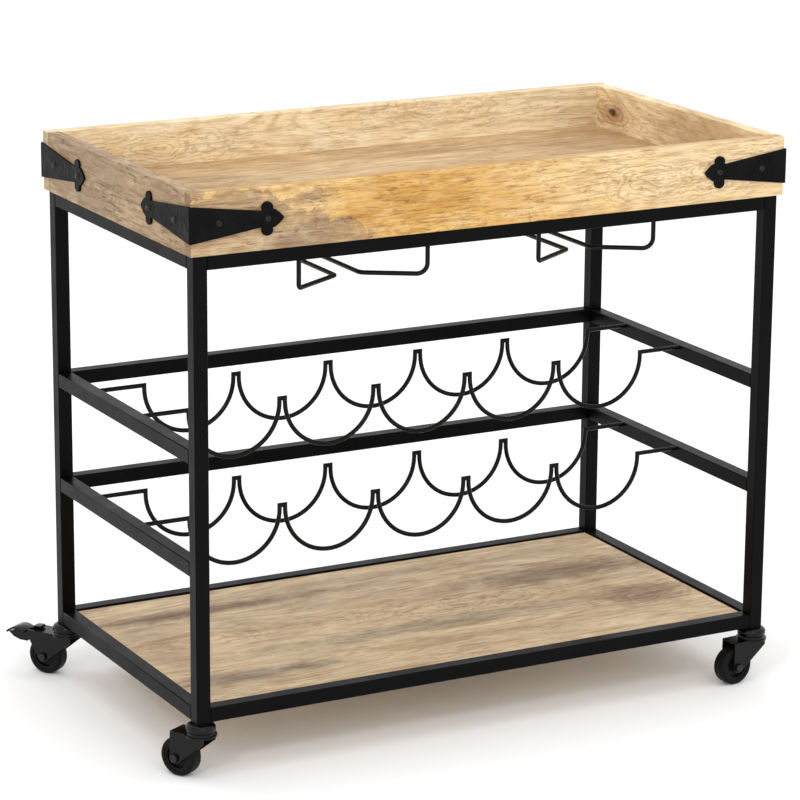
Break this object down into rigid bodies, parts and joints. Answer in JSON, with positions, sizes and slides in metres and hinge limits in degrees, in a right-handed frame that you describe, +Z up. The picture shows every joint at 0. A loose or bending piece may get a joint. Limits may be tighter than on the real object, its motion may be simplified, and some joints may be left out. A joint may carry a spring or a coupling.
{
  "type": "bar cart",
  "caption": "Bar cart on swivel casters: square-tube steel frame, wooden tray with forged corner straps, wooden shelf, wire bottle cradles and hanging stemware racks.",
  "frame": {"origin": "on the floor, under the middle of the rectangular frame", "axes": "+X along the cart's length to the right as seen from its open front, +Y towards the rear, +Z up"},
  "size_m": [0.9432, 0.535, 0.75],
  "materials": {
    "frame_steel": "satin black powder coat",
    "wire_steel": "satin black powder coat",
    "forged_iron": "hammered black",
    "screw_steel": "blackened",
    "tray_wood": "satin clear coat",
    "tray_floor_wood": "satin clear coat",
    "shelf_wood": "satin clear coat",
    "caster_steel": "gloss black",
    "bearing_steel": "polished",
    "wheel_plastic": "moulded",
    "tyre_rubber": "smooth rubber"
  },
  "bodies": {
    "cart_frame": {"leg_front_left": "frame_steel", "leg_front_right": "frame_steel", "leg_rear_left": "frame_steel", "leg_rear_right": "frame_steel", "top_rail_front": "frame_steel", "top_rail_rear": "frame_steel", "top_rail_left": "frame_steel", "top_rail_right": "frame_steel", "upper_rack_rail_rear": "frame_steel", "upper_rack_rail_left": "frame_steel", "upper_rack_rail_right": "frame_steel", "lower_rack_rail_rear": "frame_steel", "lower_rack_rail_left": "frame_steel", "lower_rack_rail_right": "frame_steel", "bottom_rail_front": "frame_steel", "bottom_rail_rear": "frame_steel", "bottom_rail_left": "frame_steel", "bottom_rail_right": "frame_steel", "mounting_tabs": "frame_steel", "mounting_screws": "screw_steel", "shelf_panel": "shelf_wood", "tray_board_front": "tray_wood", "tray_board_rear": "tray_wood", "tray_board_left": "tray_wood", "tray_board_right": "tray_wood", "tray_floor": "tray_floor_wood", "strap_screws": "screw_steel", "swivel_balls": "bearing_steel", "stemware_rack_left": "wire_steel", "stemware_rack_right": "wire_steel", "upper_cradle_wire_front": "wire_steel", "upper_cradle_wire_rear": "wire_steel", "lower_cradle_wire_front": "wire_steel", "lower_cradle_wire_rear": "wire_steel", "corner_strap_front_left": "forged_iron", "caster_stem_front_left": "caster_steel", "corner_strap_front_right": "forged_iron", "caster_stem_front_right": "caster_steel", "corner_strap_rear_left": "forged_iron", "caster_stem_rear_left": "caster_steel", "corner_strap_rear_right": "forged_iron", "caster_stem_rear_right": "caster_steel"},
    "fork_front_left": {"caster_fork_front_left": "caster_steel", "caster_axle_front_left": "screw_steel"},
    "wheel_front_left": {"wheel_hub_front_left": "wheel_plastic", "wheel_tyre_front_left": "tyre_rubber"},
    "fork_front_right": {"caster_fork_front_right": "caster_steel", "caster_axle_front_right": "screw_steel"},
    "wheel_front_right": {"wheel_hub_front_right": "wheel_plastic", "wheel_tyre_front_right": "tyre_rubber"},
    "fork_rear_left": {"caster_fork_rear_left": "caster_steel", "caster_axle_rear_left": "screw_steel"},
    "wheel_rear_left": {"wheel_hub_rear_left": "wheel_plastic", "wheel_tyre_rear_left": "tyre_rubber"},
    "pedal_rear_left": {"brake_pedal_rear_left": "caster_steel"},
    "fork_rear_right": {"caster_fork_rear_right": "caster_steel", "caster_axle_rear_right": "screw_steel"},
    "wheel_rear_right": {"wheel_hub_rear_right": "wheel_plastic", "wheel_tyre_rear_right": "tyre_rubber"},
    "pedal_rear_right": {"brake_pedal_rear_right": "caster_steel"}
  },
  "joints": [
    {"name": "swivel_front_left", "type": "hinge", "parent": "cart_frame", "child": "fork_front_left", "pos_m": [-0.4105, -0.2155, 0.075], "axis": [0, 0, 1], "continuous": true},
    {"name": "spin_front_left", "type": "hinge", "parent": "fork_front_left", "child": "wheel_front_left", "pos_m": [-0.42553, -0.18839, 0.0255], "axis": [-0.8746, -0.4848, 0], "continuous": true},
    {"name": "swivel_front_right", "type": "hinge", "parent": "cart_frame", "child": "fork_front_right", "pos_m": [0.4105, -0.2155, 0.075], "axis": [0, 0, 1], "continuous": true},
    {"name": "spin_front_right", "type": "hinge", "parent": "fork_front_right", "child": "wheel_front_right", "pos_m": [0.37962, -0.2182, 0.0255], "axis": [0.0872, -0.9962, 0], "continuous": true},
    {"name": "swivel_rear_left", "type": "hinge", "parent": "cart_frame", "child": "fork_rear_left", "pos_m": [-0.4105, 0.2155, 0.075], "axis": [0, 0, 1], "continuous": true},
    {"name": "spin_rear_left", "type": "hinge", "parent": "fork_rear_left", "child": "wheel_rear_left", "pos_m": [-0.42783, 0.2412, 0.0255], "axis": [-0.829, -0.5592, 0], "continuous": true},
    {"name": "brake_rear_left", "type": "hinge", "parent": "fork_rear_left", "child": "pedal_rear_left", "pos_m": [-0.43846, 0.25695, 0.053], "axis": [-0.829, -0.5592, 0], "range_deg": [0, 20]},
    {"name": "swivel_rear_right", "type": "hinge", "parent": "cart_frame", "child": "fork_rear_right", "pos_m": [0.4105, 0.2155, 0.075], "axis": [0, 0, 1], "continuous": true},
    {"name": "spin_rear_right", "type": "hinge", "parent": "fork_rear_right", "child": "wheel_rear_right", "pos_m": [0.42738, 0.2415, 0.0255], "axis": [-0.8387, 0.5446, 0], "continuous": true},
    {"name": "brake_rear_right", "type": "hinge", "parent": "fork_rear_right", "child": "pedal_rear_right", "pos_m": [0.43773, 0.25743, 0.053], "axis": [-0.8387, 0.5446, 0], "range_deg": [0, 20]}
  ]
}
